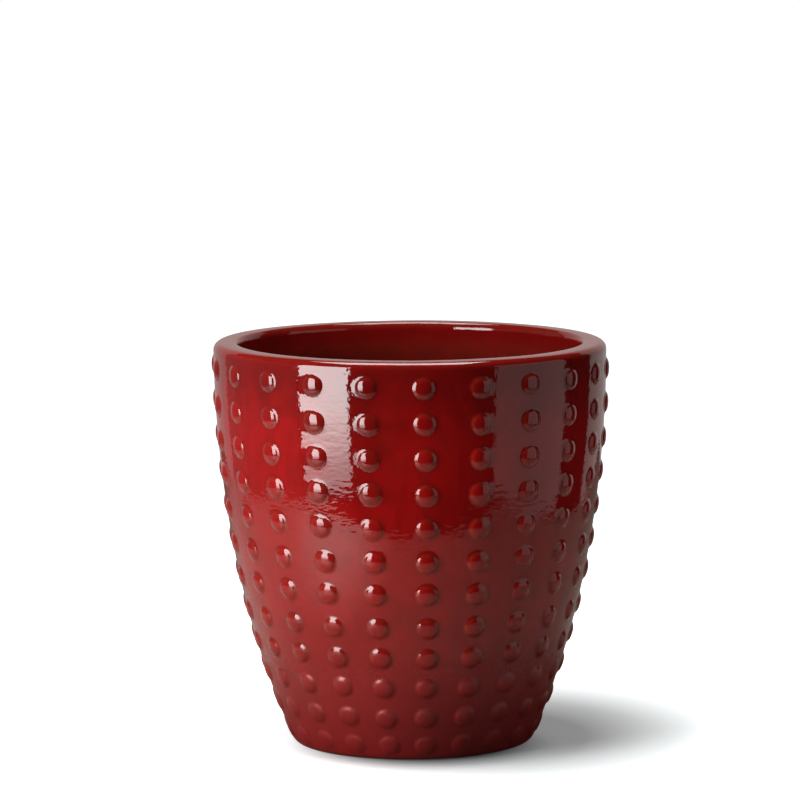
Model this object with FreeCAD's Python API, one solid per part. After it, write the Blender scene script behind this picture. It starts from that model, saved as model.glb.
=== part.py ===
import FreeCAD, Part
import math
import os

# A round glazed stoneware flower pot with rows of studs, a rolled lip, a foot ring and a loose drain stopper.
# The pot stands on z = 0 with its axis on Z. Lengths are in millimetres and angles in degrees.

# Overall sizes
pot_height = 346.8
rim_radius = 168.8

# Wall: two round bends seen from the side, the upper one flatter, both tangent where they meet
wall_top_lean = 0.63
upper_bend_radius = 990.0
lower_bend_radius = 740.0
bend_change_height = 152.0
wall_thickness = 14.0

# Lip
lip_height = 14.0
lip_width = 21.8
lip_overhang = 0.3
lip_outer_round = 6.3
lip_inner_round = 3.8

# Throat: a straight round bore under the lip, and the slope from it out to the wall's inner face
throat_run_on = 8.0
throat_blend_drop = 40.0

# Foot ring
foot_height = 9.0
foot_width = 20.0
foot_outer_round = 9.3
foot_inner_round = 3.0

# Floor slab and its drain hole
floor_thickness = 15.0
floor_cove_radius = 16.0
drain_hole_radius = 13.0

# Studs: a flat crown that turns down to a steeper edge
stud_radius = 9.4
stud_height = 2.8
stud_crown_radius = 22.0
stud_edge_width = 2.2
stud_edge_bulge_share = 0.22
stud_root = 3.0
stud_columns = 22
first_column_angle = 3.9
column_lean = 1.7

# Rows of studs: the first lies under the lip's shoulder, the last above the ground, the others at shares of the
# way up from the last to the first. A low row's relief is a share of a full stud's, because the glaze pools there.
top_row_drop = 15.0
bottom_row_height = 14.0
row_rise_shares = (1, 0.9027, 0.807, 0.712, 0.6164, 0.5233, 0.4318, 0.339, 0.254, 0.168, 0.08, 0)
row_relief_shares = (1, 1, 1, 1, 1, 1, 1, 1, 1, 0.9, 0.8, 0.6)

# Drain stopper
plug_clearance = 0.3
plug_taper = 1.0
plug_overreach = 2.0
plug_flange_overlap = 7.0
plug_flange_thickness = 3.0
plug_neck_radius = 5.0
plug_neck_height = 6.0
plug_knob_radius = 9.0
plug_knob_height = 7.0
plug_knob_round = 3.0
plug_edge_round = 1.0

os.makedirs("parts", exist_ok=True)

UP = FreeCAD.Vector(0, 0, 1)
ACROSS = FreeCAD.Vector(0, 1, 0)
CENTRE = FreeCAD.Vector(0, 0, 0)
FULL_TURN = 360.0
QUARTER_TURN = FULL_TURN / 4

seam_height = pot_height - lip_height
shoulder_height = pot_height - lip_outer_round
throat_radius = rim_radius - lip_width
throat_bottom = seam_height - throat_run_on
wall_top_radius = rim_radius - lip_overhang
floor_top = foot_height + floor_thickness


def at(radius, height):
    """A point of a section, drawn in the XZ plane."""
    return FreeCAD.Vector(radius, 0, height)


def line(start, end):
    return Part.LineSegment(start, end).toShape()


def arc_about(centre, start, end):
    """The shorter arc from start to end about centre."""
    reach = (start - centre).Length
    middle = (start + end) * 0.5 - centre
    middle.normalize()
    return Part.Arc(start, centre + middle * reach, end).toShape()


def turned(edges):
    """The solid that a closed section sweeps round the Z axis."""
    return Part.Face(Part.Wire(edges)).revolve(CENTRE, UP, FULL_TURN)


# The wall's two bends

lean_at_top = math.radians(wall_top_lean)
upper_centre = at(
    wall_top_radius - upper_bend_radius * math.cos(lean_at_top),
    seam_height + upper_bend_radius * math.sin(lean_at_top),
)
lean_at_change = math.asin((upper_centre.z - bend_change_height) / upper_bend_radius)
outward_at_change = at(math.cos(lean_at_change), -math.sin(lean_at_change))
lower_centre = upper_centre + outward_at_change * (upper_bend_radius - lower_bend_radius)


def bend_change(depth):
    """Where the two bends meet, on a face that lies depth inside the wall's outer face."""
    return upper_centre + outward_at_change * (upper_bend_radius - depth)


def wall_at(height, depth=0.0):
    """The point of the wall at a height, on its outer face or on a face that lies depth inside it."""
    centre, bend = upper_centre, upper_bend_radius - depth
    if height < bend_change(depth).z:
        centre, bend = lower_centre, lower_bend_radius - depth
    return at(centre.x + math.sqrt(bend * bend - (centre.z - height) ** 2), height)


def wall_lean_at(height):
    """How far the wall's outer face turns under the vertical at a height, in degrees."""
    point = wall_at(height)
    centre = lower_centre if height < bend_change_height else upper_centre
    return math.degrees(math.atan2(centre.z - height, point.x - centre.x))


def wall_edges(low, high, depth=0.0):
    """The wall's line from its point low up to its point high, as one arc for each bend."""
    change = bend_change(depth)
    return [arc_about(lower_centre, low, change), arc_about(upper_centre, change, high)]


def round_into_wall(level, radius, depth=0.0):
    """A round that leaves a level line and runs into the wall: its centre and its end on the wall."""
    bend = lower_bend_radius - depth
    rise = level + radius - lower_centre.z
    centre = at(lower_centre.x + math.sqrt((bend - radius) ** 2 - rise * rise), level + radius)
    outward = centre - lower_centre
    outward.normalize()
    return centre, lower_centre + outward * bend


foot_round_centre, foot_round_end = round_into_wall(0.0, foot_outer_round)
cove_centre, cove_end = round_into_wall(floor_top, floor_cove_radius, wall_thickness)
floor_radius = cove_centre.x
foot_contact_radius = foot_round_centre.x
foot_inner_radius = foot_contact_radius - foot_width


def foot_ring():
    seam = wall_at(foot_height)
    contact = at(foot_contact_radius, 0)
    heel = at(foot_inner_radius + foot_inner_round, 0)
    heel_top = at(foot_inner_radius, foot_inner_round)
    inner_top = at(foot_inner_radius, foot_height)
    heel_centre = at(foot_inner_radius + foot_inner_round, foot_inner_round)
    return turned([
        arc_about(foot_round_centre, contact, foot_round_end),
        arc_about(lower_centre, foot_round_end, seam),
        line(seam, inner_top),
        line(inner_top, heel_top),
        arc_about(heel_centre, heel_top, heel),
        line(heel, contact),
    ])


def floor_slab():
    slab = Part.makeCylinder(floor_radius, floor_thickness, at(0, foot_height))
    return slab.cut(Part.makeCylinder(drain_hole_radius, floor_thickness, at(0, foot_height)))


def wall():
    outer_low = wall_at(foot_height)
    outer_high = wall_at(seam_height)
    throat_high = at(throat_radius, seam_height)
    throat_low = at(throat_radius, throat_bottom)
    blend = wall_at(throat_bottom - throat_blend_drop, wall_thickness)
    floor_edge = at(floor_radius, floor_top)
    seat = at(floor_radius, foot_height)
    return turned(
        wall_edges(outer_low, outer_high)
        + [line(outer_high, throat_high), line(throat_high, throat_low), line(throat_low, blend)]
        + wall_edges(cove_end, blend, wall_thickness)[::-1]
        + [arc_about(cove_centre, cove_end, floor_edge), line(floor_edge, seat), line(seat, outer_low)]
    )


def lip_outside():
    """The lip's outside from its seam with the wall up to its flat top."""
    shoulder = at(rim_radius, shoulder_height)
    centre = at(rim_radius - lip_outer_round, shoulder_height)
    top = at(rim_radius - lip_outer_round, pot_height)
    return [line(wall_at(seam_height), shoulder), arc_about(centre, shoulder, top)]


def rim():
    seam = wall_at(seam_height)
    outer_top = at(rim_radius - lip_outer_round, pot_height)
    inner_top = at(throat_radius + lip_inner_round, pot_height)
    inner_side = at(throat_radius, pot_height - lip_inner_round)
    throat = at(throat_radius, seam_height)
    inner_centre = at(throat_radius + lip_inner_round, pot_height - lip_inner_round)
    return turned(lip_outside() + [
        line(outer_top, inner_top),
        arc_about(inner_centre, inner_top, inner_side),
        line(inner_side, throat),
        line(throat, seam),
    ])


def pot_core():
    """The space inside the outer face of the foot, wall and lip, filled. A stud's back follows it."""
    contact = at(foot_contact_radius, 0)
    outer_top = at(rim_radius - lip_outer_round, pot_height)
    middle_top = at(0, pot_height)
    return turned(
        [arc_about(foot_round_centre, contact, foot_round_end)]
        + wall_edges(foot_round_end, wall_at(seam_height))
        + lip_outside()
        + [line(outer_top, middle_top), line(middle_top, CENTRE), line(CENTRE, contact)]
    )


def stud_blank(relief):
    """One stud with its middle at the origin, standing out along Z and rooted below its edge."""
    height = stud_height * relief
    crown = stud_crown_radius / relief
    crown_reach = stud_radius - stud_edge_width
    drop = crown - math.sqrt(crown * crown - crown_reach * crown_reach)
    top = at(0, height)
    turn = at(crown_reach, height - drop)
    edge = at(stud_radius, 0)
    root_edge = at(stud_radius, -stud_root)
    root = at(0, -stud_root)
    run = edge - turn
    bulge = (turn + edge) * 0.5 + at(-run.z, run.x) * stud_edge_bulge_share
    return turned([
        arc_about(at(0, height - crown), top, turn),
        Part.Arc(turn, bulge, edge).toShape(),
        line(edge, root_edge),
        line(root_edge, root),
        line(root, top),
    ])


def row_height(row):
    top_row_height = shoulder_height - top_row_drop
    return bottom_row_height + (top_row_height - bottom_row_height) * row_rise_shares[row]


def stud_row(row, core):
    """The studs of one row: one stud cut to the wall behind it, repeated round the pot."""
    height = row_height(row)
    stud = stud_blank(row_relief_shares[row])
    stud.rotate(CENTRE, ACROSS, QUARTER_TURN + wall_lean_at(height))
    stud.translate(wall_at(height))
    stud = stud.cut(core).Solids[0]
    front = first_column_angle - QUARTER_TURN + column_lean * row / (len(row_rise_shares) - 1)
    studs = []
    for column in range(stud_columns):
        copy = stud.copy()
        copy.rotate(CENTRE, UP, front + FULL_TURN * column / stud_columns)
        studs.append(copy)
    return Part.Compound(studs)


def drain_plug():
    """A turned rubber stopper: a tapered body in the hole, a flange on the floor and a knob to lift it by."""
    body_top = drain_hole_radius - plug_clearance
    body_bottom = body_top - plug_taper
    bottom = foot_height - plug_overreach
    flange = drain_hole_radius + plug_flange_overlap
    flange_top = floor_top + plug_flange_thickness
    knob_bottom = flange_top + plug_neck_height
    knob_top = knob_bottom + plug_knob_height
    outline = [
        at(0, bottom),
        at(body_bottom - plug_edge_round, bottom),
        at(body_bottom, bottom + plug_edge_round),
        at(body_top, floor_top),
        at(flange, floor_top),
        at(flange, flange_top - plug_edge_round),
        at(flange - plug_edge_round, flange_top),
        at(plug_neck_radius, flange_top),
        at(plug_neck_radius, knob_bottom),
        at(plug_knob_radius - plug_edge_round, knob_bottom),
        at(plug_knob_radius, knob_bottom + plug_edge_round),
        at(plug_knob_radius, knob_top - plug_knob_round),
    ]
    knob_edge = at(plug_knob_radius - plug_knob_round, knob_top)
    knob_round_centre = at(plug_knob_radius - plug_knob_round, knob_top - plug_knob_round)
    edges = [line(start, end) for start, end in zip(outline, outline[1:])]
    edges.append(arc_about(knob_round_centre, outline[-1], knob_edge))
    edges.append(line(knob_edge, at(0, knob_top)))
    edges.append(line(at(0, knob_top), outline[0]))
    return turned(edges)


core = pot_core()
pieces = {
    "wall": wall(),
    "rim": rim(),
    "foot_ring": foot_ring(),
    "floor_slab": floor_slab(),
    "drain_plug": drain_plug(),
}
for row in range(len(row_rise_shares)):
    pieces["stud_row_%02d" % (row + 1)] = stud_row(row, core)

for name, shape in pieces.items():
    shape.exportStep("parts/" + name + ".step")
    print(name, "solids", len(shape.Solids), "valid", shape.isValid(), "litres", round(shape.Volume / 1e6, 4))
print("foot contact radius", round(foot_contact_radius, 2), "floor radius", round(floor_radius, 2))
print("throat from", throat_bottom, "to", pot_height - lip_inner_round, "radius", throat_radius)
print("row heights", [round(row_height(row), 1) for row in range(len(row_rise_shares))])
print("plug travel to clear the rim", round(pot_height - foot_height + plug_overreach, 1))
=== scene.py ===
import math
import random

import bpy
from mathutils import Matrix, Vector, noise


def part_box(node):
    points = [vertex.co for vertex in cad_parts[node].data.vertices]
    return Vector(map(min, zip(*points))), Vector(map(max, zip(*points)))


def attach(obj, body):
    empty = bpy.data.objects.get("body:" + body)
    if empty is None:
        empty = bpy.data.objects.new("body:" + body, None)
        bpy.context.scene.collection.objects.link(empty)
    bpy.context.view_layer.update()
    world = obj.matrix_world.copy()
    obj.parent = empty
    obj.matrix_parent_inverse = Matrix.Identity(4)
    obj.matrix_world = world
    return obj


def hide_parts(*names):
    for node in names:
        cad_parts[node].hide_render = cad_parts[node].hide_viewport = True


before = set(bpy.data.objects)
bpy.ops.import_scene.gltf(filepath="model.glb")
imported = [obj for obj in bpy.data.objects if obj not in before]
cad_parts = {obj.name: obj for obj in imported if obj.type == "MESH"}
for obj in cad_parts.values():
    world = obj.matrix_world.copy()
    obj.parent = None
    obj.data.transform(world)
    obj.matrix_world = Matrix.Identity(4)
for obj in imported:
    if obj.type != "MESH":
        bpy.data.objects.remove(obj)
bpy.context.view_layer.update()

# A round stoneware flower pot with a red glaze, rows of studs, a rolled lip and a rubber drain stopper.
# Lengths are in metres. The pot stands on z = 0, and the camera looks at it from the -Y side.

dice = random.Random(7)

# Sizes read from the frame

rim_low, rim_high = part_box("rim")
slab_low, slab_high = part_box("floor_slab")
POT_HEIGHT = rim_high.z
RIM_RADIUS = rim_high.x
SEAM_HEIGHT = rim_low.z
WALL_TOP_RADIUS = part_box("wall")[1].x
FOOT_HEIGHT = slab_low.z
FLOOR_TOP = slab_high.z
FLOOR_RADIUS = slab_high.x
LIP_SWELL = RIM_RADIUS - WALL_TOP_RADIUS
ROWS = sorted(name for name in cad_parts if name.startswith("stud_row_"))
ROW_HEIGHTS = [sum(corner.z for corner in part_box(name)) / 2 for name in ROWS]

# Shape of the pot, as the solids have it

WALL_TOP_LEAN = math.radians(0.63)
UPPER_BEND = 0.990
LOWER_BEND = 0.740
BEND_CHANGE_HEIGHT = 0.152
WALL_THICKNESS = 0.014
LIP_WIDTH = 0.0218
LIP_OUTER_ROUND = 0.0063
LIP_INNER_ROUND = 0.0038
LIP_SIDE = POT_HEIGHT - LIP_OUTER_ROUND - SEAM_HEIGHT
THROAT_RADIUS = RIM_RADIUS - LIP_WIDTH
THROAT_RUN_ON = 0.008
THROAT_BOTTOM = SEAM_HEIGHT - THROAT_RUN_ON
THROAT_BLEND_DROP = 0.040
FOOT_ROUND = 0.0093
FLOOR_COVE = 0.016
COLUMNS = 22
COLUMN_STEP = math.tau / COLUMNS
FIRST_COLUMN = math.radians(3.9)
COLUMN_LEAN = math.radians(1.7)
STUD_HEIGHT = 0.0028
ROW_RELIEFS = (1, 1, 1, 1, 1, 1, 1, 1, 1, 0.9, 0.8, 0.6)

# The studs under their glaze: a crown, the turn down at its edge and a skirt of glaze round it

STUD_CROWN_RADIUS = 0.025
STUD_TURN = 0.0079
STUD_EDGE_SLOPE = 0.41
STUD_EDGE_POWER = 8
STUD_SKIRT = 0.0112

# Rings round a stud where the glaze is thin or pools: how far out from the stud's middle, and how wide

THIN_RING = (0.0078, 0.0013)
POOL_RING = (0.0103, 0.0014)

# Hand work: how far the studs and the lip stray, and the waves of the wall as lengths and depths

ROW_TILT = 0.005
TILTED_ROWS = 7
STUD_PLACE_SPREAD = 0.0006
STUD_SIZE_SPREAD = 0.03
LIP_TILT = -0.0053
LIP_TILT_START = 0.10
LIP_TILT_SPAN = 0.22
LIP_CROWN = 0.0002
LIP_INNER_FALL = 0.0066
WAVES = ((0.110, 0.00022), (0.045, 0.00006), (0.020, 0.000018))
WAVE_START = 0.012
WAVE_SPAN = 0.05

# The coat of glaze, and the line where it stops on the foot

GLAZE_COAT = 0.00015
GLAZE_EDGE_ANGLE = math.radians(60)
GLAZE_EDGE_WANDER = 0.0006
GLAZE_EDGE_LUMPS = 3.1
GLAZE_EDGE_THIN = 0.3
LIP_OUTER_THIN = 0.6
LIP_TOP_THIN = 0.05
THROAT_THIN = 0.1
SEAT_GAP = 0.0001
SEAT_MARGIN = 0.0004

# How far inside the glaze counts as being, from 0 on the lip to 1 on the floor

INSIDE_THROAT = 0.12
INSIDE_WALL = 0.22
INSIDE_BEND_CHANGE = 0.72
INSIDE_COVE = 0.92
# How far inside the inside is fully brown and dark: partly its glaze, partly painted shade inside the pot
INSIDE_ALL_BROWN_AND_SHADE = 0.34

# How finely the skin is divided

CELL_SIDE = 6
CELL_MARGIN_ABOVE = 0.0018
CELL_MARGIN_BELOW = 0.0010
FOOT_CROWDING = 1.7
DOME_RINGS = (0.0022, 0.0041, 0.0055, 0.0065, 0.0072, STUD_TURN)
SKIRT_RINGS = (0.0085, 0.0093, 0.0102, STUD_SKIRT)
QUARTERS = (0.25, 0.5, 0.75, 1.0)
FOOT_SHARES = (0.3, 0.55, 0.8)
LIP_OUTER_STEPS = 10
LIP_INNER_STEPS = 12
UPPER_BEND_STEPS = 14
LOWER_BEND_STEPS = 10
COVE_STEPS = 7
QUARTER_TURN = math.pi / 2


def share_along(value, start, span):
    """How far value lies along a span, from 0 at its start to 1 past its end."""
    return min(max((value - start) / span, 0.0), 1.0)


def eased(share):
    return share * share * (3 - 2 * share)


def part_way(start, end, share):
    return start + (end - start) * share


def direction(azimuth, rise=0.0):
    """A way out from the pot, in degrees: azimuth 0 is towards the camera and 90 towards the right of its
    picture, and rise is up from the level."""
    turn, lift = math.radians(azimuth), math.radians(rise)
    return Vector((math.sin(turn) * math.cos(lift), -math.cos(turn) * math.cos(lift), math.sin(lift)))


# The outline of the pot's outside below the lip: two bends of the wall and the round of the foot

class Bend:
    """An arc of the outline. lean is how far its normal turns below the level, and grows downwards."""

    def __init__(self, centre, radius, start, end):
        self.centre, self.radius, self.start, self.end = centre, radius, start, end
        self.length = radius * (end - start)

    def at(self, lean, lift=0.0):
        reach = self.radius + lift
        return self.centre[0] + reach * math.cos(lean), self.centre[1] - reach * math.sin(lean)


def outside_bends():
    upper = (
        WALL_TOP_RADIUS - UPPER_BEND * math.cos(WALL_TOP_LEAN),
        SEAM_HEIGHT + UPPER_BEND * math.sin(WALL_TOP_LEAN),
    )
    change = math.asin((upper[1] - BEND_CHANGE_HEIGHT) / UPPER_BEND)
    shift = UPPER_BEND - LOWER_BEND
    lower = (upper[0] + shift * math.cos(change), upper[1] - shift * math.sin(change))
    drop = lower[1] - FOOT_ROUND
    reach = math.sqrt((LOWER_BEND - FOOT_ROUND) ** 2 - drop ** 2)
    foot = (lower[0] + reach, FOOT_ROUND)
    foot_start = math.atan2(drop, reach)
    return (
        Bend(upper, UPPER_BEND, WALL_TOP_LEAN, change),
        Bend(lower, LOWER_BEND, change, foot_start),
        Bend(foot, FOOT_ROUND, foot_start, GLAZE_EDGE_ANGLE),
    )


UPPER, LOWER, FOOT = outside_bends()
FOOT_START = UPPER.length + LOWER.length
GLAZE_END = FOOT_START + FOOT.length


def outside(run, lift=0.0):
    """Radius and height of the outside, run metres down the outline from the lip's seam."""
    if run < 0:
        lift += LIP_SWELL * (run / LIP_SIDE) ** 2
    if run < UPPER.length:
        return UPPER.at(WALL_TOP_LEAN + run / UPPER_BEND, lift)
    if run < FOOT_START:
        return LOWER.at(LOWER.start + (run - UPPER.length) / LOWER_BEND, lift)
    return FOOT.at(FOOT.start + (run - FOOT_START) / FOOT_ROUND, lift)


def run_to(height):
    """How far down the outline the wall has this height."""
    if height > BEND_CHANGE_HEIGHT:
        return UPPER_BEND * (math.asin((UPPER.centre[1] - height) / UPPER_BEND) - WALL_TOP_LEAN)
    lean = math.asin((LOWER.centre[1] - height) / LOWER_BEND)
    return UPPER.length + LOWER_BEND * (lean - LOWER.start)


ROW_RUNS = [run_to(height) for height in ROW_HEIGHTS]


def lean_of_columns(run):
    return COLUMN_LEAN * share_along(run, ROW_RUNS[0], ROW_RUNS[-1] - ROW_RUNS[0])


def spot(radius, height, column, run):
    """A point on the pot's round at a place among the columns of studs."""
    angle = FIRST_COLUMN + lean_of_columns(run) + COLUMN_STEP * column
    return Vector((radius * math.sin(angle), -radius * math.cos(angle), height))


def tilted(point):
    """The lip stands a little higher on one side."""
    rise = LIP_TILT * point.x * eased(share_along(point.z, LIP_TILT_START, LIP_TILT_SPAN))
    return point + Vector((0, 0, rise))


def wave(point):
    """The slow unevenness of the thrown wall."""
    return sum(depth * noise.noise(point / length) for length, depth in WAVES)


def stud_lift(distance):
    """Height of a glazed stud over the wall: a dome that steepens outwards, then a skirt of pooled glaze."""
    if distance > STUD_SKIRT:
        return 0.0
    dome = min(distance, STUD_TURN)
    steepening = STUD_EDGE_SLOPE * STUD_TURN * (dome / STUD_TURN) ** STUD_EDGE_POWER / STUD_EDGE_POWER
    lift = STUD_HEIGHT - dome ** 2 / (2 * STUD_CROWN_RADIUS) - steepening
    if distance > STUD_TURN:
        slope = STUD_TURN / STUD_CROWN_RADIUS + STUD_EDGE_SLOPE
        width = STUD_SKIRT - STUD_TURN
        lift *= ((STUD_SKIRT - distance) / width) ** (slope * width / lift)
    return lift


def ring_strength(distance, ring):
    middle, width = ring
    return math.exp(-((distance - middle) / width) ** 2)


class Skin:
    """The glazed clay in one closed mesh, with how thin or deep the glaze lies at each point."""

    def __init__(self):
        self.points, self.faces, self.thin, self.pool, self.inside = [], [], [], [], []
        self.known = {}

    def add(self, point, thin=0.0, pool=0.0, inside=0.0):
        self.points.append(tilted(point))
        self.thin.append(thin)
        self.pool.append(pool)
        self.inside.append(inside)
        return len(self.points) - 1

    def on_outside(self, column, run, lift=0.0, thin=0.0, pool=0.0):
        """The point of the outside at this place, made once however many cells meet there."""
        key = (round(column % COLUMNS, 6), round(run, 7))
        if key not in self.known:
            radius, height = outside(run)
            bare = spot(radius, height, column % COLUMNS, run)
            lift += wave(bare) * share_along(height, WAVE_START, WAVE_SPAN) + GLAZE_COAT
            self.known[key] = self.add(spot(*outside(run, lift), column % COLUMNS, run), thin, pool)
        return self.known[key]

    def strip(self, upper, lower):
        """Faces between two closed rings of points."""
        count = len(upper)
        for here in range(count):
            after = (here + 1) % count
            self.faces.append((upper[here], lower[here], lower[after], upper[after]))


def cell_border(column, top, bottom, crowding):
    """Places round the border of one stud's cell, clockwise from its top left corner. With more crowding its
    sides have shorter steps towards the bottom."""
    left, right = column - 0.5, column + 0.5
    downs = [1 - (1 - step / CELL_SIDE) ** crowding for step in range(CELL_SIDE + 1)]
    places = []
    for step in range(CELL_SIDE):
        places.append((left + step / CELL_SIDE, top))
    for step in range(CELL_SIDE):
        places.append((right, part_way(top, bottom, downs[step])))
    for step in range(CELL_SIDE):
        places.append((right - step / CELL_SIDE, bottom))
    for step in range(CELL_SIDE):
        places.append((left, part_way(top, bottom, downs[CELL_SIDE - step])))
    return places


def stud_cell(skin, row, column, top, bottom):
    """One stud and the wall round it: rings round its middle that open out to the cell's border."""
    across_pot = math.sin(FIRST_COLUMN + COLUMN_STEP * column) * WALL_TOP_RADIUS
    tilt = ROW_TILT * across_pot * max(1 - row / TILTED_ROWS, 0)
    middle_run = ROW_RUNS[row] + tilt + dice.uniform(-1, 1) * STUD_PLACE_SPREAD
    pitch = outside(middle_run)[0] * COLUMN_STEP
    middle = column + dice.uniform(-1, 1) * STUD_PLACE_SPREAD / pitch
    size = 1 + dice.uniform(-1, 1) * STUD_SIZE_SPREAD
    relief = ROW_RELIEFS[row] * (1 + dice.uniform(-1, 1) * STUD_SIZE_SPREAD)
    border = cell_border(column, top, bottom, FOOT_CROWDING if row == len(ROWS) - 1 else 1.0)
    angles = [math.atan2(run - middle_run, (place - middle) * pitch) for place, run in border]

    def point(place, run):
        distance = math.hypot((place - middle) * pitch, run - middle_run) / size
        thin = ring_strength(distance, THIN_RING) * relief
        pool = ring_strength(distance, POOL_RING)
        return skin.on_outside(place, run, stud_lift(distance) * relief, thin, pool)

    def place_at(reach, angle):
        return middle + reach * math.cos(angle) / pitch, middle_run + reach * math.sin(angle)

    rings = []
    for reach in DOME_RINGS + SKIRT_RINGS:
        rings.append([point(*place_at(reach * size, angle)) for angle in angles])
    for share in QUARTERS[:-1]:
        ring = []
        for (place, run), angle in zip(border, angles):
            near_place, near_run = place_at(STUD_SKIRT * size, angle)
            ring.append(point(part_way(near_place, place, share), part_way(near_run, run, share)))
        rings.append(ring)
    rings.append([point(place, run) for place, run in border])
    centre = point(middle, middle_run)
    inner = rings[0]
    for here in range(len(inner)):
        skin.faces.append((centre, inner[here], inner[(here + 1) % len(inner)]))
    for small, large in zip(rings, rings[1:]):
        skin.strip(small, large)


def row_borders():
    """Where the cells of each row begin and end down the outline."""
    middles = [(above + below) / 2 for above, below in zip(ROW_RUNS, ROW_RUNS[1:])]
    tops = [ROW_RUNS[0] - STUD_SKIRT - CELL_MARGIN_ABOVE] + middles
    bottoms = middles + [ROW_RUNS[-1] + STUD_SKIRT + CELL_MARGIN_BELOW]
    return list(zip(tops, bottoms))


def round_places():
    return [column - 0.5 + step / CELL_SIDE for column in range(COLUMNS) for step in range(CELL_SIDE)]


def arc_points(centre, radius, start, end, steps):
    """Points of an arc of the section, from one angle above the level to another."""
    points = []
    for step in range(steps + 1):
        angle = part_way(start, end, step / steps)
        points.append((centre[0] + radius * math.cos(angle), centre[1] + radius * math.sin(angle)))
    return points


def rounded_thinness(step, steps):
    """Glaze runs off the middle of a rounded edge."""
    return math.sin(math.pi * step / steps) ** 2


# The section over the lip and down the inside, as (radius, height, how thin the glaze lies, how far inside)

INNER_EDGE = (THROAT_RADIUS + LIP_INNER_ROUND, POT_HEIGHT - LIP_INNER_FALL)
BLEND_LEAN = math.asin((UPPER.centre[1] - THROAT_BOTTOM + THROAT_BLEND_DROP) / (UPPER_BEND - WALL_THICKNESS))


def lip_section():
    """From the lip's outer shoulder over the top to its inner edge."""
    shoulder = (RIM_RADIUS - LIP_OUTER_ROUND, POT_HEIGHT - LIP_OUTER_ROUND)
    outer = arc_points(shoulder, LIP_OUTER_ROUND, 0, QUARTER_TURN, LIP_OUTER_STEPS)
    inner = arc_points((0, 0), 1.0, QUARTER_TURN, 2 * QUARTER_TURN, LIP_INNER_STEPS)
    section = []
    for step, (radius, height) in enumerate(outer):
        section.append((radius, height, rounded_thinness(step, LIP_OUTER_STEPS) * LIP_OUTER_THIN, 0.0))
    section.append(((shoulder[0] + INNER_EDGE[0]) / 2, POT_HEIGHT + LIP_CROWN, LIP_TOP_THIN, 0.0))
    for step, (across, up) in enumerate(inner):
        radius = INNER_EDGE[0] + across * LIP_INNER_ROUND
        height = INNER_EDGE[1] + up * LIP_INNER_FALL
        section.append((radius, height, rounded_thinness(step, LIP_INNER_STEPS), 0.0))
    return section


def throat_section():
    """Down the straight throat, then out to the wall's inner face."""
    wall_radius = UPPER.at(BLEND_LEAN, -WALL_THICKNESS)[0]
    section = []
    for share in QUARTERS:
        height = part_way(INNER_EDGE[1], THROAT_BOTTOM, share)
        section.append((THROAT_RADIUS, height, THROAT_THIN * (1 - share), INSIDE_THROAT * share))
    for share in QUARTERS:
        radius = part_way(THROAT_RADIUS, wall_radius, eased(share))
        height = THROAT_BOTTOM - THROAT_BLEND_DROP * share
        section.append((radius, height, 0.0, part_way(INSIDE_THROAT, INSIDE_WALL, share)))
    return section


def inner_wall_section():
    """Down the wall's inner face and round the cove to the floor."""
    cove_height = FLOOR_TOP + FLOOR_COVE
    drop = LOWER.centre[1] - cove_height
    reach = math.sqrt((LOWER_BEND - WALL_THICKNESS - FLOOR_COVE) ** 2 - drop ** 2)
    cove_lean = math.atan2(drop, reach)
    stretches = (
        (UPPER, BLEND_LEAN, UPPER.end, UPPER_BEND_STEPS, INSIDE_WALL, INSIDE_BEND_CHANGE),
        (LOWER, LOWER.start, cove_lean, LOWER_BEND_STEPS, INSIDE_BEND_CHANGE, INSIDE_COVE),
    )
    section = []
    for bend, start, end, steps, inside_start, inside_end in stretches:
        for step in range(1, steps + 1):
            place = bend.at(part_way(start, end, step / steps), -WALL_THICKNESS)
            section.append((*place, 0.0, part_way(inside_start, inside_end, step / steps)))
    cove = (LOWER.centre[0] + reach, cove_height)
    for radius, height in arc_points(cove, FLOOR_COVE, -cove_lean, -QUARTER_TURN, COVE_STEPS)[1:]:
        section.append((radius, height, 0.0, 1.0))
    return section


def seat_section():
    """The hidden faces that close the skin: down past the floor slab, and out and down over the foot ring."""
    seat_height = FOOT_HEIGHT + SEAT_GAP
    return [
        (FLOOR_RADIUS + SEAT_GAP, seat_height),
        (outside(run_to(seat_height), -GLAZE_COAT)[0], seat_height),
        outside(FOOT_START + FOOT.length / 2, -GLAZE_COAT),
        outside(GLAZE_END - SEAT_MARGIN, -GLAZE_COAT),
    ]


def section_ring(skin, radius, height, thin=0.0, inside=0.0, uneven=1.0):
    """A ring round the pot at one place of the section. It follows the wall's waves as far as uneven says."""
    ring = []
    for column in round_places():
        place = spot(radius, height, column % COLUMNS, 0.0)
        away = Vector((place.x, place.y, 0)).normalized()
        shift = wave(place) * uneven
        ring.append(skin.add(place + away * shift + Vector((0, 0, shift)), thin, 0.0, inside))
    return ring


def glaze_edge_ring(skin):
    """The wandering line where the glaze stops on the round of the foot."""
    ring = []
    for place in round_places():
        angle = COLUMN_STEP * place
        lump = noise.noise(Vector((math.cos(angle), math.sin(angle), 0)) * GLAZE_EDGE_LUMPS)
        ring.append(skin.on_outside(place, GLAZE_END + lump * GLAZE_EDGE_WANDER, thin=GLAZE_EDGE_THIN))
    return ring


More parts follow.
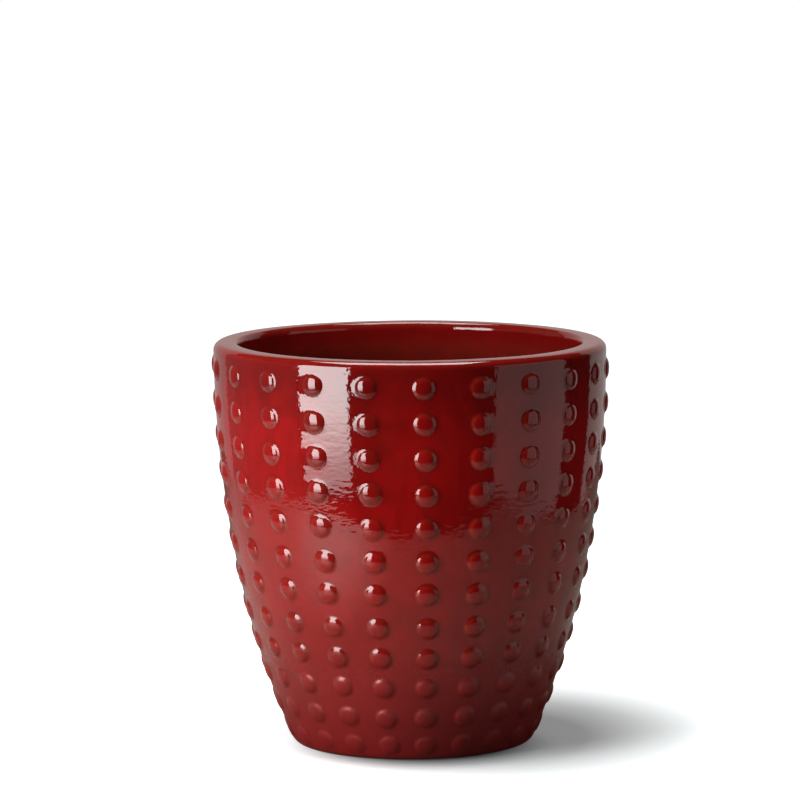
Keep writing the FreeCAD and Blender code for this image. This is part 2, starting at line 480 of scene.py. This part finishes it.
def build_skin():
    skin = Skin()
    borders = row_borders()
    for row, (top, bottom) in enumerate(borders):
        for column in range(COLUMNS):
            stud_cell(skin, row, column, top, bottom)
    start = borders[0][0]
    end = borders[-1][1]
    rings = [[skin.on_outside(place, start) for place in round_places()]]
    for radius, height, thin, inside in lip_section() + throat_section() + inner_wall_section():
        rings.append(section_ring(skin, radius, height, thin, inside))
    foot_rings = [[skin.on_outside(place, end) for place in round_places()]]
    for share in FOOT_SHARES:
        run = part_way(end, GLAZE_END, share)
        foot_rings.append([skin.on_outside(place, run) for place in round_places()])
    foot_rings.append(glaze_edge_ring(skin))
    for radius, height in seat_section():
        rings.append(section_ring(skin, radius, height, uneven=0.0))
    rings.append(foot_rings[-1])
    for above, below in zip(rings, rings[1:]):
        skin.strip(above, below)
    for above, below in zip(foot_rings, foot_rings[1:]):
        skin.strip(below, above)
    return skin


def mesh_object(name, points, faces, attributes=()):
    mesh = bpy.data.meshes.new(name)
    mesh.from_pydata(points, [], faces)
    mesh.validate()
    for label, values in attributes:
        mesh.attributes.new(label, "FLOAT", "POINT").data.foreach_set("value", values)
    mesh.shade_smooth()
    mesh.update()
    piece = bpy.data.objects.new(name, mesh)
    bpy.context.scene.collection.objects.link(piece)
    return piece


# Materials

class Nodes:
    """A material's node tree, with short calls for the nodes used here."""

    def __init__(self, name):
        self.material = bpy.data.materials.new(name)
        self.material.use_nodes = True
        self.tree = self.material.node_tree
        self.tree.nodes.clear()
        self.output = self.tree.nodes.new("ShaderNodeOutputMaterial")

    def node(self, kind, **settings):
        made = self.tree.nodes.new(kind)
        for name, value in settings.items():
            setattr(made, name, value)
        return made

    def put(self, socket, value):
        if isinstance(value, bpy.types.NodeSocket):
            self.tree.links.new(value, socket)
        else:
            socket.default_value = value

    def shader(self, kind, **inputs):
        made = self.node(kind)
        for name, value in inputs.items():
            self.put(made.inputs[name.replace("_", " ")], value)
        return made

    def maths(self, operation, first, second, clamp=False):
        made = self.node("ShaderNodeMath", operation=operation, use_clamp=clamp)
        self.put(made.inputs[0], first)
        self.put(made.inputs[1], second)
        return made.outputs[0]

    def mix(self, factor, first, second):
        made = self.node("ShaderNodeMix", data_type="RGBA")
        self.put(made.inputs["Factor"], factor)
        self.put(made.inputs["A"], first)
        self.put(made.inputs["B"], second)
        return made.outputs["Result"]

    def place(self, squeeze=(1, 1, 1)):
        """Places on the object, squeezed or stretched along its axes."""
        source = self.node("ShaderNodeTexCoord")
        mapping = self.node("ShaderNodeMapping")
        self.put(mapping.inputs["Scale"], squeeze)
        self.tree.links.new(source.outputs["Object"], mapping.inputs["Vector"])
        return mapping.outputs["Vector"]

    def grain(self, size, detail=2.0, squeeze=(1, 1, 1)):
        """Noise from 0 to 1 whose lumps are about size metres."""
        made = self.node("ShaderNodeTexNoise")
        self.put(made.inputs["Vector"], self.place(squeeze))
        self.put(made.inputs["Scale"], 1 / size)
        self.put(made.inputs["Detail"], detail)
        return made.outputs["Fac"]

    def between(self, value, low, high, to_low=0.0, to_high=1.0):
        made = self.node("ShaderNodeMapRange", interpolation_type="SMOOTHSTEP")
        for socket, number in zip(made.inputs, (value, low, high, to_low, to_high)):
            self.put(socket, number)
        return made.outputs["Result"]

    def patches(self, size, low, high, least=0.0, most=1.0, detail=2.0, squeeze=(1, 1, 1)):
        """Patches about size metres across: least where the noise is low and most where it is high."""
        return self.between(self.grain(size, detail, squeeze), low, high, least, most)

    def attribute(self, name):
        return self.node("ShaderNodeAttribute", attribute_name=name).outputs["Fac"]

    def distance(self, point, squeeze=(1, 1, 1)):
        """How far the place, squeezed, is from a point that is given squeezed alike."""
        made = self.node("ShaderNodeVectorMath", operation="DISTANCE")
        self.put(made.inputs[0], self.place(squeeze))
        self.put(made.inputs[1], point)
        return made.outputs["Value"]

    def height(self):
        made = self.node("ShaderNodeSeparateXYZ")
        self.put(made.inputs[0], self.place())
        return made.outputs["Z"]

    def bump(self, *layers):
        """Bumps one over the other, each a height and its depth in metres."""
        normal = None
        for height, depth in layers:
            made = self.node("ShaderNodeBump")
            self.put(made.inputs["Strength"], 1.0)
            self.put(made.inputs["Distance"], depth)
            self.put(made.inputs["Height"], height)
            if normal is not None:
                self.put(made.inputs["Normal"], normal)
            normal = made.outputs["Normal"]
        return normal

    def finish(self, shader):
        self.tree.links.new(shader.outputs[0], self.output.inputs["Surface"])
        return self.material


GLAZE_RED = (0.40, 0.0062, 0.0062, 1)
GLAZE_DEEP = (0.28, 0.0045, 0.0045, 1)
GLAZE_DUSKY = (0.20, 0.012, 0.008, 1)
GLAZE_BROWN = (0.24, 0.040, 0.016, 1)
GLAZE_POOLED = (0.17, 0.007, 0.006, 1)
# Dark glaze of the thicker patch, and under the lip partly painted shade
GLAZE_DARK_AND_LIP_SHADE = (0.085, 0.004, 0.003, 1)
# The inside's brown, partly painted shade inside the pot
INSIDE_BROWN_AND_SHADE = (0.180, 0.034, 0.018, 1)
CLAY_PALE = (0.46, 0.33, 0.24, 1)
CLAY_DARK = (0.33, 0.22, 0.15, 1)
CLAY_SPECK = (0.16, 0.09, 0.055, 1)
RUBBER = (0.030, 0.030, 0.030, 1)
RUBBER_WORN = (0.060, 0.058, 0.055, 1)
CERAMIC_IOR = 1.5
RUBBER_IOR = 1.52
POOL_STRENGTH = 0.35
RIPPLE_DEPTH = 0.000095
FINE_RIPPLE_DEPTH = 0.000056
GRIT_DEPTH = 0.00018
LUMP_DEPTH = 0.0004
RUBBER_GRAIN_DEPTH = 0.00005
BARE_ROUGHNESS = (0.85, 0.85, 0.85, 1)
FLOOR_GLAZE_ROUGHNESS = (0.16, 0.16, 0.16, 1)

# Heights on the pot between which its gloss and colour change, lowest first. The dark under the lip is partly
# painted shade.

DULLEST, DULL, SHINY = 0.025, 0.062, 0.112
FOOT_DARK, FOOT_DARK_END = 0.020, 0.160
LIP_DARK_START, LIP_DARK = 0.272, 0.338
FLOOR_GLAZE_START, FLOOR_GLAZE_END = FLOOR_TOP - 0.0012, FLOOR_TOP - 0.0006

# A patch of thicker, darker glaze at the front, taller than it is wide

THICK_SQUEEZE = (1, 1, 0.55)
THICK_MIDDLE = direction(-18) * 0.165 + Vector((0, 0, 0.157))
THICK_REACH = 0.018
THICK_END = 0.052


def glaze_tones(nodes):
    """The red of the glaze with its mottling, its runs and its duskier clouds."""
    mottle = nodes.patches(size=0.035, detail=3.0, low=0.40, high=0.66, most=0.45)
    runs = nodes.patches(size=0.012, low=0.52, high=0.74, most=0.44, squeeze=(1, 1, 0.14))
    dusk = nodes.patches(size=0.026, detail=4.0, low=0.50, high=0.72, most=0.30, squeeze=(1, 1, 0.6))
    colour = nodes.mix(mottle, GLAZE_RED, GLAZE_DEEP)
    colour = nodes.mix(runs, colour, GLAZE_DEEP)
    return nodes.mix(dusk, colour, GLAZE_DUSKY)


def glaze_thickness(nodes, colour):
    """Darker where the glaze pools round the studs, and browner where it is thin over an edge."""
    pooled = nodes.maths("MULTIPLY", nodes.attribute("pool"), POOL_STRENGTH)
    colour = nodes.mix(pooled, colour, GLAZE_POOLED)
    patches = nodes.patches(size=0.006, low=0.35, high=0.65, least=0.168, most=0.48)
    return nodes.mix(nodes.maths("MULTIPLY", nodes.attribute("thin"), patches), colour, GLAZE_BROWN)


def glaze_marks(nodes, colour, height):
    """The dark under the lip and the brown inside, both partly painted shade, the thicker patch, specks and
    the dark towards the foot.
    """
    # Darker under the lip: partly the glaze, partly painted shade where the top of the wall gets less light
    lip_glaze_and_shade = nodes.between(height, LIP_DARK_START, LIP_DARK, to_high=0.55)
    colour = nodes.mix(lip_glaze_and_shade, colour, GLAZE_DARK_AND_LIP_SHADE)
    wander = nodes.patches(size=0.02, detail=3.0, low=0.3, high=0.7, least=-0.008, most=0.008)
    away = nodes.maths("ADD", nodes.distance(THICK_MIDDLE, THICK_SQUEEZE), wander)
    thick = nodes.between(away, THICK_REACH, THICK_END, to_low=0.42, to_high=0.0)
    colour = nodes.mix(thick, colour, GLAZE_DARK_AND_LIP_SHADE)
    specks = nodes.patches(size=0.0021, detail=0.0, low=0.76, high=0.82, most=0.7)
    colour = nodes.mix(specks, colour, GLAZE_POOLED)
    # The inside turns brown and darker below the lip: partly its glaze, partly painted shade inside the pot
    colour = nodes.mix(nodes.between(nodes.attribute("inside"), 0.0, INSIDE_ALL_BROWN_AND_SHADE), colour, INSIDE_BROWN_AND_SHADE)
    return nodes.mix(nodes.between(height, FOOT_DARK_END, FOOT_DARK, to_high=0.64), colour, GLAZE_POOLED)


def glaze_roughness(nodes, height):
    """A shiny glaze with slightly uneven gloss that turns dull low on the pot."""
    rough = nodes.patches(size=0.012, detail=3.0, low=0.3, high=0.7, least=0.03, most=0.065)
    dull = nodes.between(height, SHINY, DULL, to_high=0.34)
    duller = nodes.between(height, DULL, DULLEST, to_high=0.05)
    return nodes.maths("ADD", rough, nodes.maths("ADD", dull, duller))


def glaze_ripple(nodes):
    return nodes.bump(
        (nodes.grain(size=0.0100, detail=1.0, squeeze=(1, 1, 2.8)), RIPPLE_DEPTH),
        (nodes.grain(size=0.0036, detail=1.0), FINE_RIPPLE_DEPTH),
    )


def red_glaze():
    nodes = Nodes("red_glaze")
    wander = nodes.patches(size=0.014, detail=3.0, low=0.3, high=0.7, least=-0.010, most=0.010)
    uneven_height = nodes.maths("ADD", nodes.height(), wander)
    colour = glaze_thickness(nodes, glaze_tones(nodes))
    colour = glaze_marks(nodes, colour, uneven_height)
    shader = nodes.shader("ShaderNodeBsdfPrincipled", Base_Color=colour, IOR=CERAMIC_IOR,
                          Roughness=glaze_roughness(nodes, uneven_height), Normal=glaze_ripple(nodes))
    return nodes.finish(shader)


def bare_stoneware():
    """Bare clay with grit and iron specks, and on top of the floor slab the brown glaze of the inside, partly
    painted shade.
    """
    nodes = Nodes("bare_stoneware")
    clay = nodes.mix(nodes.patches(size=0.018, detail=4.0, low=0.35, high=0.68), CLAY_PALE, CLAY_DARK)
    specks = nodes.patches(size=0.0022, detail=1.0, low=0.68, high=0.76, most=0.6)
    clay = nodes.mix(specks, clay, CLAY_SPECK)
    glazed = nodes.between(nodes.height(), FLOOR_GLAZE_START, FLOOR_GLAZE_END)
    # The floor slab's top takes the inside's brown, partly painted shade
    colour = nodes.mix(glazed, clay, INSIDE_BROWN_AND_SHADE)
    rough = nodes.mix(glazed, BARE_ROUGHNESS, FLOOR_GLAZE_ROUGHNESS)
    normal = nodes.bump(
        (nodes.grain(size=0.0011, detail=3.0), GRIT_DEPTH),
        (nodes.grain(size=0.014), LUMP_DEPTH),
    )
    shader = nodes.shader("ShaderNodeBsdfPrincipled", Base_Color=colour, Roughness=rough, IOR=CERAMIC_IOR,
                          Normal=normal)
    return nodes.finish(shader)


def plug_rubber():
    nodes = Nodes("plug_rubber")
    wear = nodes.patches(size=0.005, detail=4.0, low=0.42, high=0.7)
    rough = nodes.patches(size=0.004, detail=3.0, low=0.3, high=0.7, least=0.42, most=0.6)
    colour = nodes.mix(wear, RUBBER, RUBBER_WORN)
    normal = nodes.bump((nodes.grain(size=0.0009), RUBBER_GRAIN_DEPTH))
    shader = nodes.shader("ShaderNodeBsdfPrincipled", Base_Color=colour, Roughness=rough, IOR=RUBBER_IOR,
                          Normal=normal)
    return nodes.finish(shader)


# The camera, from where the photograph was taken

IMAGE_SIDE = 800
LENS = 227.0
SENSOR = 36.0
CLIP_END = 100
CAMERA_DISTANCE = 4.355
CAMERA_RISE = math.radians(8.663)
CAMERA_ROLL = math.radians(0.502)
AIM_HEIGHT = 0.1718
AIM_X_PIXEL = 411.57
AIM_Y_PIXEL = 541.99


def make_camera():
    data = bpy.data.cameras.new("camera")
    data.lens = LENS
    data.sensor_width = SENSOR
    data.clip_end = CLIP_END
    camera = bpy.data.objects.new("camera", data)
    bpy.context.scene.collection.objects.link(camera)
    aim = Vector((0, 0, AIM_HEIGHT))
    back = Vector((0, -math.cos(CAMERA_RISE), math.sin(CAMERA_RISE)))
    right = Vector((1, 0, 0))
    up = back.cross(right)
    rolled_right = right * math.cos(CAMERA_ROLL) - up * math.sin(CAMERA_ROLL)
    rolled_up = up * math.cos(CAMERA_ROLL) + right * math.sin(CAMERA_ROLL)
    facing = Matrix((rolled_right, rolled_up, back)).transposed()
    pixels_deep = LENS / SENSOR * IMAGE_SIDE
    middle = IMAGE_SIDE / 2
    seen = Vector((AIM_X_PIXEL - middle, middle - AIM_Y_PIXEL, -pixels_deep)).normalized()
    turn = seen.rotation_difference(Vector((0, 0, -1))).to_matrix()
    camera.matrix_world = Matrix.Translation(aim + back * CAMERA_DISTANCE) @ (facing @ turn).to_4x4()
    bpy.context.scene.camera = camera


# The floor: a pale table top on a wider floor of the same white

TABLE_EDGE = (
    (-0.85, 1.5), (-0.86, 0.1), (-0.80, -0.15), (-0.72, -0.32), (-0.52, -0.49), (-0.25, -0.56),
    (0.07, -0.58), (0.35, -0.55), (0.59, -0.48), (0.70, -0.30), (0.74, 0.0), (0.78, 0.4), (0.80, 1.5),
)
TABLE_TOP = -0.0001
FLOOR_LEVEL = -0.0005
FLOOR_REACH = 9

WHITE_TO_LIGHT = (0.24, 0.24, 0.24, 1)
# Painted shade: to the gloss of the glaze the floor is darker near the pot
SHADED_WHITE_TO_GLOSS_NEAR = (0.18, 0.17, 0.145, 1)
WHITE_TO_GLOSS_FAR = (0.43, 0.425, 0.36, 1)
NEAR_POT, FAR_FROM_POT = 0.10, 0.24

WHITE_TO_CAMERA = (0.91, 0.96, 0.96, 1)
BLACK = (0.0, 0.0, 0.0, 1)
# A painted contact shadow on the floor, black right under the pot's foot
CONTACT_SHADOW_MIDDLE = (0.008, -0.030, 0)
CONTACT_SHADOW_START, CONTACT_SHADOW_END = 0.050, 0.124

# The camera's glow is least round GLOW_MIDDLE, where it paints the pot's soft shadow on the floor
GLOW_COLOUR = (0.97, 1, 1, 1)
GLOW_SQUEEZE = (1, 0.73, 1)
GLOW_MIDDLE = (0.072, 0.0044, 0)
GLOW_START = 0.077
GLOW_PER_METRE = 4.76
LEAST_GLOW = 0.182

# Painted pools of light on the table, which only the gloss of the glaze sees
KEY_SPOT = direction(-44) * 0.62
KEY_SPOT_END, KEY_SPOT_MIDDLE = 0.36, 0.05
KEY_SPOT_GLOW = 1.3
LEFT_SPOT = (-0.85, 0.30, 0)
LEFT_SPOT_END, LEFT_SPOT_MIDDLE = 0.90, 0.35
LEFT_SPOT_GLOW = 0.24


def floor_colour(nodes, path, contact_shadow):
    """To the gloss of the glaze it is darker near the pot, a painted shade, and to the camera a painted
    contact shadow turns it black right under its foot.
    """
    near = nodes.between(nodes.distance((0, 0, 0)), NEAR_POT, FAR_FROM_POT)
    colour = nodes.mix(near, SHADED_WHITE_TO_GLOSS_NEAR, WHITE_TO_GLOSS_FAR)
    colour = nodes.mix(path.outputs["Is Diffuse Ray"], colour, WHITE_TO_LIGHT)
    return nodes.mix(path.outputs["Is Camera Ray"], colour, nodes.mix(contact_shadow, BLACK, WHITE_TO_CAMERA))


def floor_glow(nodes, path, contact_shadow):
    """To the camera, a glow that grows with the distance from the middle of the pot's shadow, so that its
    least glow there paints the shadow's soft shape. To the gloss of the glaze, two painted pools of light on
    the table."""
    glow = nodes.maths("SUBTRACT", nodes.distance(GLOW_MIDDLE, GLOW_SQUEEZE), GLOW_START)
    glow = nodes.maths("ADD", nodes.maths("MULTIPLY", glow, GLOW_PER_METRE, clamp=True), LEAST_GLOW)
    glow = nodes.maths("MULTIPLY", nodes.maths("MULTIPLY", path.outputs["Is Camera Ray"], glow), contact_shadow)
    key = nodes.between(nodes.distance(KEY_SPOT), KEY_SPOT_END, KEY_SPOT_MIDDLE, 0.0, KEY_SPOT_GLOW)
    left = nodes.between(nodes.distance(LEFT_SPOT), LEFT_SPOT_END, LEFT_SPOT_MIDDLE, 0.0, LEFT_SPOT_GLOW)
    painted_light_pools = nodes.maths("MULTIPLY", path.outputs["Is Glossy Ray"], nodes.maths("ADD", key, left))
    return nodes.maths("ADD", glow, painted_light_pools)


def white_surface():
    """The floor's white. To the camera it is lit and glows, so that it stays white outside the pot's shadow;
    the glow's low middle paints that shadow's soft shape. To the light and the gloss of the glaze it is
    duller."""
    nodes = Nodes("white_floor")
    path = nodes.node("ShaderNodeLightPath")
    contact_shadow = nodes.between(nodes.distance(CONTACT_SHADOW_MIDDLE), CONTACT_SHADOW_START, CONTACT_SHADOW_END)
    diffuse = nodes.shader("ShaderNodeBsdfDiffuse", Color=floor_colour(nodes, path, contact_shadow))
    glow = floor_glow(nodes, path, contact_shadow)
    emission = nodes.shader("ShaderNodeEmission", Color=GLOW_COLOUR, Strength=glow)
    both = nodes.node("ShaderNodeAddShader")
    nodes.put(both.inputs[0], diffuse.outputs[0])
    nodes.put(both.inputs[1], emission.outputs[0])
    return nodes.finish(both)


def flat_piece(name, corners, material):
    piece = mesh_object(name, corners, [tuple(range(len(corners)))])
    piece.data.materials.append(material)
    return piece


def make_floor():
    white = white_surface()
    flat_piece("table_top", [(x, y, TABLE_TOP) for x, y in TABLE_EDGE], white)
    far = [(-FLOOR_REACH, -FLOOR_REACH), (FLOOR_REACH, -FLOOR_REACH),
           (FLOOR_REACH, FLOOR_REACH), (-FLOOR_REACH, FLOOR_REACH)]
    floor = flat_piece("studio_floor", [(x, y, FLOOR_LEVEL) for x, y in far], white)
    floor.visible_glossy = False


# The lamps, and the glowing cards that only the gloss of the glaze sees

PLAIN_GLOW = (1, 1, 1, 1)
WARM_GLOW = (1, 0.93, 0.89, 1)
GLOW_HEIGHTS = (-0.5, 0.9)
OVERHEAD_GLOW = 10.0
OVERHEAD_CORNERS = ((-0.55, -0.33), (-0.55, 0.43), (0.42, 0.43), (0.42, -0.33))
OVERHEAD_HEIGHT = 1.5
WORLD_FILL = 0.05
WORLD_GLOSS = 0.01


def hidden_card(name, corners, material):
    card = flat_piece(name, corners, material)
    card.visible_camera = False
    card.visible_diffuse = False
    card.visible_shadow = False
    card.visible_transmission = False


def glow_card(name, azimuth, distance, width, low, high, glows, glow_heights=GLOW_HEIGHTS, tint=PLAIN_GLOW):
    """An upright card that faces the pot, from the height low to the height high. Its glow goes over from the
    first of its glows to the second between two heights."""
    middle = direction(azimuth) * distance
    along = direction(azimuth + 90) * (width / 2)
    corners = [
        middle - along + Vector((0, 0, low)),
        middle + along + Vector((0, 0, low)),
        middle + along + Vector((0, 0, high)),
        middle - along + Vector((0, 0, high)),
    ]
    nodes = Nodes(name)
    strength = nodes.between(nodes.height(), *glow_heights, *glows)
    hidden_card(name, corners, nodes.finish(nodes.shader("ShaderNodeEmission", Color=tint, Strength=strength)))


def overhead_card():
    nodes = Nodes("overhead_card")
    material = nodes.finish(nodes.shader("ShaderNodeEmission", Strength=OVERHEAD_GLOW))
    hidden_card("overhead_card", [(x, y, OVERHEAD_HEIGHT) for x, y in OVERHEAD_CORNERS], material)


def lamp(name, place, target, width, height, watts):
    data = bpy.data.lights.new(name, "AREA")
    data.shape = "RECTANGLE"
    data.size = width
    data.size_y = height
    data.energy = watts
    piece = bpy.data.objects.new(name, data)
    piece.location = place
    piece.rotation_euler = (target - place).to_track_quat("-Z", "Y").to_euler()
    bpy.context.scene.collection.objects.link(piece)
    piece.visible_glossy = False
    piece.visible_camera = False


def make_world():
    """White to the camera, and a faint glow to all else."""
    world = bpy.data.worlds.new("studio")
    bpy.context.scene.world = world
    world.use_nodes = True
    tree = world.node_tree
    background = tree.nodes["Background"]
    path = tree.nodes.new("ShaderNodeLightPath")

    def blend(factor, first, second):
        made = tree.nodes.new("ShaderNodeMix")
        made.data_type = "FLOAT"
        tree.links.new(factor, made.inputs["Factor"])
        if isinstance(first, float):
            made.inputs["A"].default_value = first
        else:
            tree.links.new(first, made.inputs["A"])
        made.inputs["B"].default_value = second
        return made.outputs["Result"]

    strength = blend(path.outputs["Is Glossy Ray"], WORLD_FILL, WORLD_GLOSS)
    strength = blend(path.outputs["Is Camera Ray"], strength, 1.0)
    background.inputs["Color"].default_value = PLAIN_GLOW
    tree.links.new(strength, background.inputs["Strength"])


def make_studio():
    make_floor()
    make_world()
    pot_foot = Vector((0, 0, 0))
    pot_middle = Vector((0, 0, POT_HEIGHT / 2))
    key_place = direction(-52) + Vector((0, 0, 0.32))
    fill_place = direction(84) * 1.1 + Vector((0, 0, 0.42))
    top_place = direction(-50, 81) * 1.5
    lamp("key_lamp", key_place, pot_middle, width=0.52, height=0.83, watts=9.3)
    lamp("fill_lamp", fill_place, pot_middle, width=0.9, height=0.8, watts=1.6)
    lamp("top_lamp", top_place, pot_foot, width=0.55, height=0.55, watts=15.0)
    glow_card("left_softbox", azimuth=-48, distance=1.0, width=0.52, low=-0.066, high=0.74,
              glows=(3.9, 12.6), glow_heights=(-0.06, 0.20))
    glow_card("left_wall", azimuth=-98, distance=1.2, width=1.5, low=-0.5, high=0.9,
              glows=(0.16, 0.16))
    glow_card("right_board", azimuth=71.7, distance=1.0, width=0.905, low=-0.095, high=0.74,
              glows=(0.59, 0.59), tint=WARM_GLOW)
    glow_card("backdrop", azimuth=177, distance=1.5, width=3.56, low=-0.5, high=1.40,
              glows=(0.46, 0.46), tint=WARM_GLOW)
    overhead_card()


# Putting it together

def dress_node(name, material):
    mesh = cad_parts[name].data
    mesh.materials.clear()
    mesh.materials.append(material)


def make_pot():
    skin = build_skin()
    piece = mesh_object("glazed_pot", skin.points, skin.faces,
                        (("thin", skin.thin), ("pool", skin.pool), ("inside", skin.inside)))
    piece.data.materials.append(red_glaze())
    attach(piece, "pot")
    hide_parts("wall", "rim", *ROWS)
    stoneware = bare_stoneware()
    dress_node("foot_ring", stoneware)
    dress_node("floor_slab", stoneware)
    dress_node("drain_plug", plug_rubber())


make_pot()
make_camera()
make_studio()
bpy.context.scene.view_settings.view_transform = "Standard"
